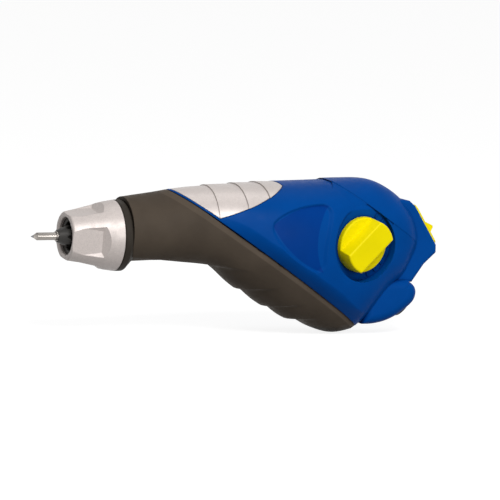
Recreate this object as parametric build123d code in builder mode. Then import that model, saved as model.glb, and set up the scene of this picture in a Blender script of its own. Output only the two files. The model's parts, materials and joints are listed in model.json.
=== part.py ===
from build123d import *
import math
import os

# Electric engraver, in millimetres. X runs back along the needle axis, Z is up, and -Y is the knob side.
# The origin is on the needle axis, where the needle leaves its collet.

# Lines of the rubber grip: distance back, half width, top, bottom, widest height, squareness
GRIP_LINES = [
    (29.0, 15.2, 16.6, -12.4, 1.6, 2.0),
    (44.0, 15.6, 18.4, -12.3, 2.6, 2.0),
    (58.0, 17.0, 20.4, -12.5, 3.0, 2.05),
    (66.0, 17.8, 21.0, -12.9, 2.6, 2.1),
    (73.0, 18.6, 21.4, -15.5, 1.6, 2.1),
    (82.0, 19.6, 22.0, -22.2, 0.0, 2.15),
    (94.0, 20.8, 22.6, -29.8, -2.0, 2.2),
    (106.0, 21.2, 22.9, -36.4, -4.0, 2.25),
    (118.0, 20.8, 23.1, -40.6, -5.0, 2.3),
    (129.0, 19.4, 23.3, -43.4, -6.0, 2.3),
    (138.0, 17.4, 23.2, -42.0, -6.0, 2.3),
    (146.0, 15.0, 22.0, -38.0, -6.0, 2.3),
]
# Lines of the moulded body, in the same columns
BODY_LINES = [
    (48.0, 16.0, 18.9, -12.3, 2.8, 2.0),
    (58.0, 17.1, 20.5, -12.5, 3.0, 2.05),
    (68.0, 18.4, 21.1, -14.0, 2.4, 2.1),
    (78.0, 20.8, 21.6, -20.2, 1.0, 2.15),
    (88.0, 23.3, 22.0, -28.0, -1.0, 2.25),
    (98.0, 24.9, 22.3, -34.5, -3.0, 2.35),
    (108.0, 25.3, 22.5, -38.6, -4.5, 2.4),
    (118.0, 24.9, 22.7, -41.6, -5.5, 2.4),
    (128.0, 23.2, 23.0, -43.4, -6.0, 2.4),
    (136.0, 21.4, 23.1, -42.4, -6.0, 2.4),
    (143.0, 19.6, 22.7, -36.6, -5.5, 2.35),
    (150.0, 17.6, 20.4, -28.2, -4.5, 2.3),
    (156.0, 15.8, 16.6, -22.8, -3.5, 2.2),
    (161.0, 13.4, 12.2, -18.6, -3.0, 2.1),
    (165.0, 9.0, 5.5, -12.0, -3.0, 2.0),
]
SECTION_POINTS = 20
GRIP_SECTIONS = 18
BODY_SECTIONS = 20
GRIP_WALL = 2.6
BED_PLAY = 0.1
GRIP_SPAN = (29.0, 146.0)
GRIP_START = 30.5
BODY_SPAN = (48.0, 164.5)
SHELL_START = 33.1
WIDE = 60.0

# Joint between the grip and the body: a plane across the tool, from the top to the heel
SEAM_TOP = (53.6, 18.0)
SEAM_FOOT = (139.3, -40.8)
SEAM_GAP = 0.35
ROLL_HEIGHT = 6.5
ROLL_STEPS = 5
ROLL_FLUSH = 0.15
SEAM_POINTS = 11
SEAM_SEARCH = 0.05
CORE_ABOVE_SEAM = 2.0

# Finger ledges under the grip: height, where the ledge ends, where its step meets the belly again
LEDGES = [(-13.2, 71.8, 75.2), (-24.0, 86.0, 91.0), (-31.4, 98.2, 103.5), (-37.2, 112.4, 119.0)]
LEDGE_LEAD = 14.0
LEDGE_BELOW = 0.3

# Rear block under the switch and the round lobe below it, as outlines from the side
BLOCK_HALF = 9.0
BLOCK_EDGE = 1.6
SWITCH_TOP = (164.2, 11.6)
SWITCH_FOOT = (174.4, -5.4)
BLOCK_OUTLINE = [
    (150.0, 14.6),
    (158.6, 14.6),
    (161.6, 13.9),
    SWITCH_TOP,
    SWITCH_FOOT,
    (174.4, -8.7),
    (168.9, -13.7),
    (163.4, -21.4),
    (150.0, -21.4),
]
BLOCK_HOLLOW = [
    (145.0, 9.0),
    (158.0, 9.3),
    (162.6, 9.3),
    (171.8, -6.0),
    (171.8, -7.4),
    (164.0, -15.0),
    (145.0, -15.0),
]
BLOCK_HOLLOW_HALF = 6.6
LOBE_HALF = 11.5
LOBE_EDGE = 4.0
LOBE_FRONT = 140.5
LOBE_ROOF = -20.0
LOBE_CURVE = [
    (162.4, -21.4),
    (165.2, -25.4),
    (164.3, -29.1),
    (160.9, -32.5),
    (154.4, -36.7),
    (148.0, -38.8),
    (140.5, -39.3),
]
LOBE_HOLLOW = (152.0, -26.0)
LOBE_HOLLOW_R = 9.5
LOBE_HOLLOW_HALF = 8.7

# Panel over the upper rear that stands a little proud of the body
RAISED_FROM_SEAM = 44.2
RAISED_STEP = 0.5
RAISED_SPAN = (105.0, 164.2)
RAISED_SECTIONS = 12

# Bare triangular pad on each side, with its corners in the side view
PAD_SIDES = [
    ((118.5, 13.6), (104.2, 11.8), (92.0, 5.5)),
    ((92.0, 5.5), (101.3, -6.8), (114.8, -14.7)),
    ((114.8, -14.7), (112.2, -0.6), (118.5, 13.6)),
]
PAD_ROUNDS = (1.4, 2.6, 1.6)
PAD_DEPTH = 0.9
PAD_SINK = 1.2
PAD_OPEN = 5.5
PAD_DRAFT = 55.0
PAD_SPAN = (80.0, 130.0)
PAD_SECTIONS = 10

# Silver finger rest: saddle over the top, in shingled steps
REST_FROM_SEAM = 1.0
REST_CORNER_Z = 8.6
REST_LOWER = (84.2, 13.5)
REST_TAIL = (97.6, 19.6)
REST_END = 101.2
REST_ABOVE = 27.0
REST_BREAKS = [48.5, 69.0, 82.0, 92.5, 102.6]
REST_STEP = 0.25
REST_SINK = -0.2
REST_THICK = 1.5
REST_GAP = 0.2
REST_SECTIONS = 4
REST_SPAN = (48.5, 110.0)
REST_BED_SECTIONS = 12
REST_TAIL_RISE = 1.7

# Knob dish, knob and its cam shaft, on an axis square to the tapering side
KNOB_X, KNOB_Z = 135.0, -3.5
DISH_FLOOR = 17.0
DIAL_BACK = 13.0
DIAL_DOWN = 6.0
DISH_R = 15.9
DISH_WALL = 2.5
DISH_OPEN = 14.0
KNOB_R = 12.2
KNOB_LIFT = 0.3
KNOB_RIM = 2.5
BAR_HEIGHT = 5.8
BAR_ANGLE = 43.0
BAR_BASE_HALF = 6.6
BAR_TOP_HALF = 5.4
BAR_END_DRAFT = 4.0
BAR_EDGE = 0.8
TICK_COUNT = 9
TICK_FROM = -70.0
TICK_SPREAD = 130.0
TICK_R = 14.1
TICK = (2.0, 0.7, 0.5)
SHAFT_R = 4.0
SHAFT_FIT = 0.05
BEARING_R = 6.5
BEARING_LENGTH = 7.0
JOURNAL_LENGTH = 7.6
NECK_R = 3.4
DRIVE_R = 3.0
DRIVE_FLAT = 2.2
DRIVE_LENGTH = 6.0
TAIL_R = 2.5
TAIL_START = 26.8
TAIL_END = 33.0
TAIL_PLAY = 0.2
TAIL_STEP = 0.4
TAIL_BOSS_R = 5.5
CAM_DEPTH = 17.5
CAM_HALF = 3.0
CAM_REACH = 7.0
CAM_RISE = 0.42
CAM_SPREAD = 150
CAM_STEP = 25
SEAL_DEPTH = 4.6
SEAL_WIRE = 0.7
SEAL_FIT = 0.02
SEAL_ROOT_R = 2.5
SEAL_GROOVE = 1.7

# Needle and what holds it
NEEDLE_R = 1.7
NEEDLE_OUT = 8.7
NEEDLE_SHANK_R = 1.5
NEEDLE_SHANK = 13.0
POINT_R = 0.6
POINT_STEM_R = 0.45
POINT_TIP_R = 0.08
POINT_SEAT = 10.4
POINT_TIP = 11.5
POINT_ROOT = 7.0
COLLET_R = 2.3
COLLET_LENGTH = 13.4
COLLET_SLOT = 0.5
COLLET_SLOTS = 3
COLLET_SLIT = 9.0
NUT_FRONT = 0.6
NUT_FRONT_R = 2.75
NUT_FLANGE = 5.4
NUT_FLANGE_R = 4.65
NUT_WAIST_R = 4.3
NUT_END = 17.0
NUT_RIM = 2.0
NUT_FLUTES = 6
FLUTE_R = 1.2
FLUTE_OUT = 0.6

# Nose cone, its loose liner and the collar that it screws on to
NOSE_FRONT = 4.2
NOSE_LIP = 1.8
NOSE_MOUTH_R = 8.1
NOSE_FRONT_R = 10.65
NOSE_NECK = 22.0
NOSE_NECK_R = 14.7
NOSE_BACK = 26.4
NOSE_BACK_R = 15.35
NOSE_BEVEL = 0.9
POCKET_COUNT = 4
POCKET_TILT = 8.5
POCKET_START_R = 9.45
POCKET_SLOPE = 4.7
POCKET_END = 17.6
POCKET_FRONT_HALF = 7.0
POCKET_REAR_HALF = 4.75
POCKET_SIDE_DRAFT = 1.9
POCKET_END_DRAFT = 0.96
POCKET_OPEN = 8.0
LINER_SEAT_R = 9.2
LINER_R = 6.3
LINER_END = 12.5
LINER_PLAY = 0.1
LINER_EDGE = 0.6
SNAP_R = 8.9
SNAP_LENGTH = 0.6
THREAD_R = 12.6
THREAD_START = 20.2
COLLAR_FIT = 0.1
COLLAR_EDGE = 0.8
COLLAR_FRONT = 20.8
COLLAR_BORE_R = 5.0
COLLAR_FLANGE = (26.6, 29.6)
COLLAR_FLANGE_R = 15.4
COLLAR_CONE_END = (33.0, 12.0)
COLLAR_TAIL_R = 7.5
COLLAR_TAIL_END = 36.0

# Striker, its guides and its magnet, all on the needle axis
ROD_R = 3.0
ROD_END = 92.0
ROD_WAY_R = 3.6
BUSH_R = 6.0
BUSH_FIT = 0.04
END_PLAY = 0.1
BUSH_FLANGE_R = 7.2
BUSH_FLANGE = 1.2
FRONT_WALL = (36.1, 44.5)
REAR_WALL = (70.0, 80.9)
BARREL_ROOM_R = 7.6
CATCH_WALL = (117.1, 119.6)
BUSH_LENGTH = 7.5
ARMATURE_R = 7.2
ARMATURE = (86.0, 111.5)
ARMATURE_EDGE = 0.4
SPRING_BORE_R = 3.3
SPRING_BORE_START = 99.0
BUFFER_R = 6.8
BUFFER_BORE_R = 3.4
BUFFER_END = 85.7
BUFFER_EDGE = 0.8
YOKE = (81.0, 117.0)
YOKE_PLATE = 2.5
YOKE_HALF = 9.0
YOKE_TOP = 11.0
YOKE_FOOT = -15.4
YOKE_BAR = 2.6
YOKE_MOUTH_R = 7.6
BOBBIN_BORE_R = 7.5
BOBBIN_TUBE_R = 8.5
BOBBIN_FLANGE_R = 12.2
BOBBIN_FLANGE = 1.5
WINDING_R = 11.8
TAB_TOP = 15.0
TAB_HALF = 6.0
COIL_ROOM_R = 12.6
ROOM_PLAY = 0.15
SPRING_R = 2.75
SPRING_WIRE = 0.6
SPRING_TURNS = 5
SPRING_END = 108.8
SEAT_STEM_R = 2.6
SEAT_STEM_START = 109.2
SEAT_GUIDE_R = 2.66
SEAT_FLANGE_R = 6.5
SEAT_FLANGE = 2.1
CAM_PLAY = 0.1
SEAT_WAY_R = 3.2
CAM_ROOM = [(119.6, -20.0), (119.6, 15.0), (140.0, 15.0), (146.0, 10.0), (146.0, -20.0)]
CAM_ROOM_HALF = 14.5

# Switch on the sloped rear face
PLATE = (19.4, 14.0, 0.9)
PLATE_CORNER = 2.0
WINDOW = (9.8, 6.4)
WINDOW_X = -0.1
SLIDER_X = 1.9
SLIDER_NECK = (5.0, 5.8)
RIDGE_HALF = 4.5
RIDGE = [(-3.2, 0.0), (3.2, 0.0), (1.5, 2.6), (0.6, 2.6)]
SLIDER_PLAY = 0.15
SLIDER_FOOT = (8.0, 9.0, 1.0)
SLIDER_DEPTH = 2.7
PIN_SIDE = 2.0
PIN_DEPTH = 6.0
SWITCH_BOX = (15.0, 9.0, 8.0)
SWITCH_DEPTH = 4.1
SWITCH_SLOT = (7.4, 2.6, 2.6)
SWITCH_RIB = (11.0, 6.0)
TERMINAL = (0.8, 4.0, 4.0)
TERMINAL_X = 4.0
TERMINAL_Y = 2.6

# Cord inlet in the lobe: a bush on a sloping axis
INLET_FROM = (150.0, -23.0)
INLET_ANGLE = -38.0
INLET_BORE_R = 3.1
INLET_R = 5.0
INLET_FLANGE_R = 6.6
INLET_TAIL_R = 4.6
INLET_STEPS = (6.9, 9.4, 12.2, 15.9)
INLET_BITE = 0.5
INLET_BLOCK_R = 9.0
INLET_PLAY = 0.05

# Screws through the right half into the left one, placed in the side view
SCREWS = [(107.0, 16.5), (148.0, 12.0), (132.0, -26.5), (147.5, -32.0)]
SCREW_HEAD_Y = [11.0, 9.5, 12.5, 6.5]
SCREW_R = 1.3
SCREW_HEAD_R = 2.7
SCREW_HEAD = 1.8
SCREW_DEPTH = 8.0
SCREW_REACH = 7.7
SCREW_WAY_R = 3.0
SCREW_POST_R = 3.6
SCREW_PLAY = 0.05
SCREW_DRIVE_R = 1.4

# Leads from the switch to the coil
LEAD_R = 0.9
LEAD_RADIUS = 2.2
LEAD_HEIGHT = 13.2
LEAD_ROUTES = [
    (-1, [(145.5, 3.5), (138.0, 12.5), (122.0, LEAD_HEIGHT)]),
    (1, [(148.6, -2.0), (144.5, 4.7), (138.0, 12.5), (122.0, LEAD_HEIGHT)]),
]
LEAD_HOLE_R = 1.3
LEAD_OUT = 4.5

os.makedirs("parts", exist_ok=True)


def slope(before, here, after, column):
    """Slope of one column at a station, flat where the column turns."""
    rise = (here[column] - before[column]) / (here[0] - before[0])
    fall = (after[column] - here[column]) / (after[0] - here[0])
    if rise * fall <= 0:
        return 0.0
    return 2 * rise * fall / (rise + fall)


def station(lines, x):
    """Half width, top, bottom, widest height and squareness at x, on smooth curves through the lines."""
    index = 0
    while index < len(lines) - 2 and lines[index + 1][0] < x:
        index += 1
    here, after = lines[index], lines[index + 1]
    before = lines[max(index - 1, 0)]
    beyond = lines[min(index + 2, len(lines) - 1)]
    span = after[0] - here[0]
    t = (x - here[0]) / span
    values = []
    for column in range(1, 6):
        chord = (after[column] - here[column]) / span
        start = chord if before is here else slope(before, here, after, column)
        end = chord if beyond is after else slope(here, after, beyond, column)
        values.append(
            (1 + 2 * t) * (1 - t) ** 2 * here[column]
            + t * (1 - t) ** 2 * span * start
            + t * t * (3 - 2 * t) * after[column]
            + t * t * (t - 1) * span * end
        )
    return values


def half_width_at(lines, x, z):
    """Half width of the form at one height, or nothing above and below it."""
    half, top, bottom, widest, square = station(lines, x)
    reach = (z - widest) / (top - widest if z > widest else bottom - widest)
    if reach >= 1:
        return 0.0
    return half * (1 - reach**square) ** (1 / square)


def section_outline(lines, x, grow):
    """Points of the closed section at x, moved out by grow."""
    half, top, bottom, widest, square = station(lines, x)
    points = []
    for step in range(SECTION_POINTS):
        angle = 2 * math.pi * step / SECTION_POINTS
        across, up = math.cos(angle), math.sin(angle)
        height = top - widest if up > 0 else widest - bottom
        y = (half + grow) * math.copysign(abs(across) ** (2 / square), across)
        z = widest + (height + grow) * math.copysign(abs(up) ** (2 / square), up)
        points.append((y, z))
    return points


def body_form(lines, start, end, count, grow, grow_end):
    """Solid between two distances along the lines, moved out by grow, which changes evenly to grow_end."""
    with BuildPart() as form:
        for step in range(count):
            part_way = step / (count - 1)
            x = start + (end - start) * part_way
            out = grow + (grow_end - grow) * part_way
            with BuildSketch(Plane(origin=(x, 0, 0), x_dir=(0, 1, 0), z_dir=(1, 0, 0))):
                with BuildLine():
                    Spline(*section_outline(lines, x, out), periodic=True)
                make_face()
        loft()
    return form.part


def side_prism(points, half):
    """Straight-sided outline seen from the side, reaching half to each side of the middle."""
    with BuildPart() as prism:
        with BuildSketch(Plane.XZ):
            with BuildLine():
                Polyline(*points, close=True)
            make_face()
        extrude(amount=half, both=True)
    return prism.part


def turned(*profile):
    """Profile of distances back and radii, turned about the needle axis."""
    with BuildPart() as piece:
        with BuildSketch(Plane.XZ):
            with BuildLine():
                Polyline(*profile, close=True)
            make_face()
        revolve(axis=Axis.X)
    return piece.part


def tube(start, end, outer, inner):
    """Plain tube on the needle axis."""
    return turned((start, inner), (start, outer), (end, outer), (end, inner))


def rod(plane, radius, length):
    """Plain rod standing on a plane."""
    with BuildPart() as piece:
        with BuildSketch(plane):
            Circle(radius)
        extrude(amount=length)
    return piece.part


def across(x, z, start_y):
    """Plane across the tool at a place in the side view, looking to +Y, starting at one y."""
    return Plane(origin=(x, start_y, z), x_dir=(1, 0, 0), z_dir=(0, 1, 0))


# The seam plane looks up and back, with its own x across the tool and its own y up along the seam
SEAM_LENGTH = math.hypot(SEAM_FOOT[0] - SEAM_TOP[0], SEAM_FOOT[1] - SEAM_TOP[1])
SEAM_RUN = (SEAM_FOOT[0] - SEAM_TOP[0]) / SEAM_LENGTH
SEAM_DROP = (SEAM_TOP[1] - SEAM_FOOT[1]) / SEAM_LENGTH
SEAM = Plane(origin=(SEAM_TOP[0], 0, SEAM_TOP[1]), x_dir=(0, 1, 0), z_dir=(SEAM_DROP, 0, SEAM_RUN))


def seam_place(down, height):
    """Place in the side view at a distance down the seam and a height above its plane."""
    x = SEAM_TOP[0] + down * SEAM_RUN + height * SEAM_DROP
    return x, SEAM_TOP[1] - down * SEAM_DROP + height * SEAM_RUN


# The switch plane lies on the sloped rear face, with its own x down the slope
SLOPE_LENGTH = math.hypot(SWITCH_FOOT[0] - SWITCH_TOP[0], SWITCH_FOOT[1] - SWITCH_TOP[1])
SLOPE_RUN = (SWITCH_FOOT[0] - SWITCH_TOP[0]) / SLOPE_LENGTH
SLOPE_DROP = (SWITCH_TOP[1] - SWITCH_FOOT[1]) / SLOPE_LENGTH
SLOPE_MIDDLE = ((SWITCH_TOP[0] + SWITCH_FOOT[0]) / 2, 0, (SWITCH_TOP[1] + SWITCH_FOOT[1]) / 2)
SWITCH = Plane(origin=SLOPE_MIDDLE, x_dir=(SLOPE_RUN, 0, -SLOPE_DROP), z_dir=(SLOPE_DROP, 0, SLOPE_RUN))

# The dish plane is the floor of the knob's dish, looking out to the knob side
dial_back = math.radians(DIAL_BACK)
dial_down = math.radians(DIAL_DOWN)
DIAL_OUT = Vector(
    math.sin(dial_back) * math.cos(dial_down),
    -math.cos(dial_back) * math.cos(dial_down),
    -math.sin(dial_down),
)
DIAL_X = Vector(math.cos(dial_back), math.sin(dial_back), 0)
DISH = Plane(origin=(KNOB_X, -DISH_FLOOR, KNOB_Z), x_dir=DIAL_X, z_dir=DIAL_OUT)
INWARD = Plane(origin=DISH.origin, x_dir=DIAL_X, z_dir=-DIAL_OUT)

INLET_RUN = math.cos(math.radians(INLET_ANGLE))
INLET_FALL = math.sin(math.radians(INLET_ANGLE))
INLET = Plane(
    origin=(INLET_FROM[0], 0, INLET_FROM[1]), x_dir=(0, 1, 0), z_dir=(INLET_RUN, 0, INLET_FALL)
)


def seam_ends(height):
    """Distances down the seam where a plane above it leaves the body, at the top and at the heel."""
    start = end = SEAM_LENGTH / 2
    while half_width_at(BODY_LINES, *seam_place(start, height)) > 0:
        start -= SEAM_SEARCH
    while half_width_at(BODY_LINES, *seam_place(end, height)) > 0:
        end += SEAM_SEARCH
    return start, end


def roll_outline(height):
    """Closed outline above the seam, from the grip's width there to the body's own at the roll's top."""
    start, end = seam_ends(height)
    share = 1 - (1 - height / ROLL_HEIGHT) ** 2
    near = []
    for step in range(SEAM_POINTS + 1):
        down = (start + end - (end - start) * math.cos(math.pi * step / SEAM_POINTS)) / 2
        body_y = half_width_at(BODY_LINES, *seam_place(down, height))
        grip_y = min(body_y, half_width_at(GRIP_LINES, *seam_place(down, 0)))
        near.append((grip_y + share * (body_y - grip_y) + ROLL_FLUSH, -down))
    near[0] = (0, near[0][1] + ROLL_FLUSH)
    near[-1] = (0, near[-1][1] - ROLL_FLUSH)
    return near + [(-y, along) for y, along in reversed(near[1:-1])]


# What stays of the body just above the seam, so that its edge rolls in to the grip
with BuildPart() as roll_keep:
    for step in range(ROLL_STEPS + 1):
        height = ROLL_HEIGHT * step / ROLL_STEPS
        with BuildSketch(SEAM.offset(height)):
            with BuildLine():
                Spline(*roll_outline(height), periodic=True)
            make_face()
    loft()

with BuildPart() as roll_cut:
    with BuildSketch(SEAM):
        with Locations((0, -SEAM_LENGTH / 2)):
            Rectangle(2 * WIDE, 2 * SEAM_LENGTH)
    extrude(amount=ROLL_HEIGHT)
    add(roll_keep.part, mode=Mode.SUBTRACT)

with BuildPart() as rear_block:
    add(side_prism(BLOCK_OUTLINE, BLOCK_HALF))
    fillet(rear_block.edges().group_by(Axis.Y)[0] + rear_block.edges().group_by(Axis.Y)[-1], BLOCK_EDGE)

with BuildPart() as lobe:
    with BuildSketch(Plane.XZ):
        with BuildLine():
            Spline(*LOBE_CURVE)
            Polyline(LOBE_CURVE[-1], (LOBE_FRONT, LOBE_ROOF), (LOBE_CURVE[0][0], LOBE_ROOF), LOBE_CURVE[0])
        make_face()
    extrude(amount=LOBE_HALF, both=True)
    fillet(lobe.edges().group_by(Axis.Y)[0] + lobe.edges().group_by(Axis.Y)[-1], LOBE_EDGE)

# Forms of the grip and the body, and the same forms moved in by their walls
grip_form = body_form(GRIP_LINES, *GRIP_SPAN, GRIP_SECTIONS, 0, 0)
grip_bed = body_form(GRIP_LINES, *GRIP_SPAN, GRIP_SECTIONS, -GRIP_WALL, -GRIP_WALL)
core_form = body_form(GRIP_LINES, *GRIP_SPAN, GRIP_SECTIONS, -GRIP_WALL - BED_PLAY, -GRIP_WALL - BED_PLAY)
outer_form = body_form(BODY_LINES, *BODY_SPAN, BODY_SECTIONS, 0, 0)
pad_form = body_form(BODY_LINES, *PAD_SPAN, PAD_SECTIONS, -PAD_DEPTH, -PAD_DEPTH)
rest_depth = REST_THICK + BED_PLAY
rest_bed = body_form(BODY_LINES, *REST_SPAN, REST_BED_SECTIONS, -rest_depth, -rest_depth)
rest_under = body_form(BODY_LINES, *REST_SPAN, REST_BED_SECTIONS, -REST_THICK, -REST_THICK)
rest_shingles = [
    body_form(BODY_LINES, start, end, REST_SECTIONS, REST_STEP if index else REST_SINK, REST_SINK)
    for index, (start, end) in enumerate(zip(REST_BREAKS, REST_BREAKS[1:]))
]

# Side outline of the finger rest, parallel to the seam at its front
rest_front = SEAM_TOP[0] + REST_FROM_SEAM / SEAM_DROP
rest_slope = SEAM_RUN / SEAM_DROP
rest_corner = (rest_front + rest_slope * (SEAM_TOP[1] - REST_CORNER_Z), REST_CORNER_Z)
rest_crest = (rest_front + rest_slope * (SEAM_TOP[1] - REST_ABOVE), REST_ABOVE)
rest_end = (REST_END, REST_TAIL[1] + REST_TAIL_RISE)


def rest_prism(gap):
    """Side outline of the finger rest, widened by a gap, across the whole tool."""
    with BuildPart() as prism:
        with BuildSketch(Plane.XZ):
            with BuildLine():
                Line(rest_crest, rest_corner)
                ThreePointArc(rest_corner, REST_LOWER, REST_TAIL)
                Polyline(REST_TAIL, rest_end, (REST_END, REST_ABOVE), rest_crest)
            make_face()
            if gap:
                offset(amount=gap)
        extrude(amount=WIDE, both=True)
    return prism.part


rest_outline = rest_prism(0)
rest_opening = rest_prism(REST_GAP)

with BuildPart() as rest_recess:
    add(rest_opening)
    add(rest_bed, mode=Mode.SUBTRACT)

# The pad's plane goes through its three corners on the side of the body
pad_corners = [
    Vector(x, -half_width_at(BODY_LINES, x, z), z) for (x, z), bend, end in PAD_SIDES
]
pad_out = (pad_corners[1] - pad_corners[0]).cross(pad_corners[2] - pad_corners[0]).normalized()
PAD = Plane(origin=pad_corners[0], x_dir=Vector(0, 0, 1).cross(pad_out), z_dir=pad_out)


def on_pad(x, z):
    """Place on the pad's plane that is straight across the tool from a place in the side view."""
    off = (x - PAD.origin.X) * pad_out.X + (z - PAD.origin.Z) * pad_out.Z
    place = PAD.to_local_coords(Vector(x, PAD.origin.Y - off / pad_out.Y, z))
    return place.X, place.Y


with BuildPart() as pad_recess:
    with BuildSketch(PAD.offset(-PAD_SINK)) as pad_face:
        with BuildLine():
            for start, bend, end in PAD_SIDES:
                ThreePointArc(on_pad(*start), on_pad(*bend), on_pad(*end))
        make_face()
        for (start, bend, end), rounding in zip(PAD_SIDES, PAD_ROUNDS):
            corner = pad_face.vertices().sort_by_distance(on_pad(*start))[0]
            fillet(corner, rounding)
    extrude(amount=PAD_OPEN, taper=-PAD_DRAFT)
    mirror(about=Plane.XZ)
    add(pad_form, mode=Mode.SUBTRACT)

# Rooms inside the closed body for the rod, the magnet, the cam, the switch and the cord
with BuildPart() as rooms:
    add(tube(SHELL_START - 1, COLLAR_TAIL_END + END_PLAY, COLLAR_TAIL_R + COLLAR_FIT, 0))
    add(tube(COLLAR_TAIL_END, FRONT_WALL[1], BUSH_R + BUSH_FIT, 0))
    add(tube(FRONT_WALL[1], REAR_WALL[0], BARREL_ROOM_R, 0))
    add(tube(REAR_WALL[0], REAR_WALL[0] + BUSH_LENGTH + END_PLAY, BUSH_R + BUSH_FIT, 0))
    add(tube(REAR_WALL[0], REAR_WALL[1], ROD_WAY_R, 0))
    add(tube(REAR_WALL[1], CATCH_WALL[0], COIL_ROOM_R, 0))
    add(tube(CATCH_WALL[0], CATCH_WALL[1], SEAT_WAY_R, 0))
    with BuildSketch(Plane.XZ):
        with BuildLine():
            Polyline(
                (REAR_WALL[1], YOKE_FOOT - ROOM_PLAY),
                (REAR_WALL[1], YOKE_TOP + ROOM_PLAY),
                (CATCH_WALL[0], YOKE_TOP + ROOM_PLAY),
                (CATCH_WALL[0], YOKE_FOOT - ROOM_PLAY),
                close=True,
            )
        make_face()
    extrude(amount=YOKE_HALF + ROOM_PLAY, both=True)
    with BuildSketch(Plane.XZ):
        with BuildLine():
            Polyline(
                (YOKE[1] - YOKE_PLATE - BOBBIN_FLANGE - ROOM_PLAY, 0),
                (YOKE[1] - YOKE_PLATE - BOBBIN_FLANGE - ROOM_PLAY, TAB_TOP + ROOM_PLAY),
                (CATCH_WALL[0], TAB_TOP + ROOM_PLAY),
                (CATCH_WALL[0], 0),
                close=True,
            )
        make_face()
    extrude(amount=TAB_HALF + ROOM_PLAY, both=True)
    add(side_prism(CAM_ROOM, CAM_ROOM_HALF))
    add(side_prism(BLOCK_HOLLOW, BLOCK_HOLLOW_HALF))
    add(rod(across(LOBE_HOLLOW[0], LOBE_HOLLOW[1], -LOBE_HOLLOW_HALF), LOBE_HOLLOW_R, 2 * LOBE_HOLLOW_HALF))
    for side, route in LEAD_ROUTES:
        with BuildSketch(Plane(origin=(YOKE[1], side * TERMINAL_Y, LEAD_HEIGHT), z_dir=(1, 0, 0))):
            Circle(LEAD_HOLE_R)
        extrude(amount=CATCH_WALL[1] - YOKE[1] + 1)
    for x, z in SCREWS:
        add(rod(across(x, z, -WIDE), SCREW_POST_R, 2 * WIDE), mode=Mode.SUBTRACT)
    add(rod(DISH.offset(-DISH_WALL), DISH_R + DISH_WALL, WIDE), mode=Mode.SUBTRACT)
    add(rod(INWARD, BEARING_R, BEARING_LENGTH), mode=Mode.SUBTRACT)
    add(rod(INWARD.offset(TAIL_START), TAIL_BOSS_R, WIDE), mode=Mode.SUBTRACT)
    add(rod(INLET.offset(INLET_STEPS[0] + INLET_BITE), INLET_BLOCK_R, WIDE), mode=Mode.SUBTRACT)
    with BuildSketch(SWITCH.offset(-SWITCH_DEPTH)):
        for side in (-1, 1):
            with Locations((0, side * (SWITCH_BOX[1] / 2 + END_PLAY + SWITCH_RIB[1] / 2))):
                Rectangle(SWITCH_RIB[0], SWITCH_RIB[1])
    extrude(amount=-SWITCH_BOX[2], mode=Mode.SUBTRACT)

with BuildPart() as core:
    add(core_form)
    split(bisect_by=SEAM.offset(CORE_ABOVE_SEAM), keep=Keep.BOTTOM)
    split(bisect_by=Plane.YZ.offset(SHELL_START), keep=Keep.TOP)

# Dish with the hole for the shaft, leaving raised ticks on its floor
with BuildPart() as dish_cut:
    add(rod(DISH, DISH_R, DISH_OPEN))
    with BuildSketch(DISH):
        with PolarLocations(TICK_R, TICK_COUNT, TICK_FROM, TICK_SPREAD, endpoint=True):
            Rectangle(TICK[0], TICK[1])
    extrude(amount=TICK[2], mode=Mode.SUBTRACT)
    add(rod(INWARD, SHAFT_R + SHAFT_FIT, DISH_FLOOR))

# Panel over the upper rear, behind a plane parallel to the seam
with BuildPart() as raised_panel:
    add(body_form(BODY_LINES, *RAISED_SPAN, RAISED_SECTIONS, RAISED_STEP, RAISED_STEP))
    split(bisect_by=SEAM.offset(RAISED_FROM_SEAM), keep=Keep.TOP)

# Both halves of the body as one shell, before it is parted along the middle
with BuildPart() as shell:
    add(outer_form)
    split(bisect_by=SEAM, keep=Keep.TOP)
    add(raised_panel.part)
    add(roll_cut.part, mode=Mode.SUBTRACT)
    add(dish_cut.part, mode=Mode.SUBTRACT)
    add(rear_block.part)
    add(lobe.part)
    add(core.part)
    add(rooms.part, mode=Mode.SUBTRACT)
    add(rest_recess.part, mode=Mode.SUBTRACT)
    add(pad_recess.part, mode=Mode.SUBTRACT)
    with BuildSketch(SWITCH.offset(1)):
        with Locations((WINDOW_X, 0)):
            Rectangle(WINDOW[0], WINDOW[1])
    extrude(amount=-SWITCH_DEPTH, mode=Mode.SUBTRACT)
    add(rod(INLET.offset(INLET_STEPS[0]), INLET_R + INLET_PLAY, WIDE), mode=Mode.SUBTRACT)
    groove = INLET_STEPS[2] - INLET_STEPS[1]
    add(rod(INLET.offset(INLET_STEPS[1]), INLET_FLANGE_R + INLET_PLAY, groove), mode=Mode.SUBTRACT)

with BuildPart() as left_housing:
    add(shell.part)
    split(bisect_by=Plane.XZ, keep=Keep.TOP)
    for x, z in SCREWS:
        add(rod(across(x, z, -SCREW_DEPTH), SCREW_R + SCREW_PLAY, 2 * SCREW_DEPTH), mode=Mode.SUBTRACT)
left_housing.part.label = "left_housing"
export_step(left_housing.part, "parts/left_housing.step")

with BuildPart() as right_housing:
    add(shell.part)
    split(bisect_by=Plane.XZ, keep=Keep.BOTTOM)
    tail_hole = TAIL_END + TAIL_PLAY - CAM_DEPTH
    add(rod(INWARD.offset(CAM_DEPTH), TAIL_R + SHAFT_FIT, tail_hole), mode=Mode.SUBTRACT)
    for (x, z), head_y in zip(SCREWS, SCREW_HEAD_Y):
        add(rod(across(x, z, -1), SCREW_R + SCREW_PLAY, head_y + 1), mode=Mode.SUBTRACT)
        add(rod(across(x, z, head_y), SCREW_WAY_R, WIDE), mode=Mode.SUBTRACT)
right_housing.part.label = "right_housing"
export_step(right_housing.part, "parts/right_housing.step")

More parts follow.
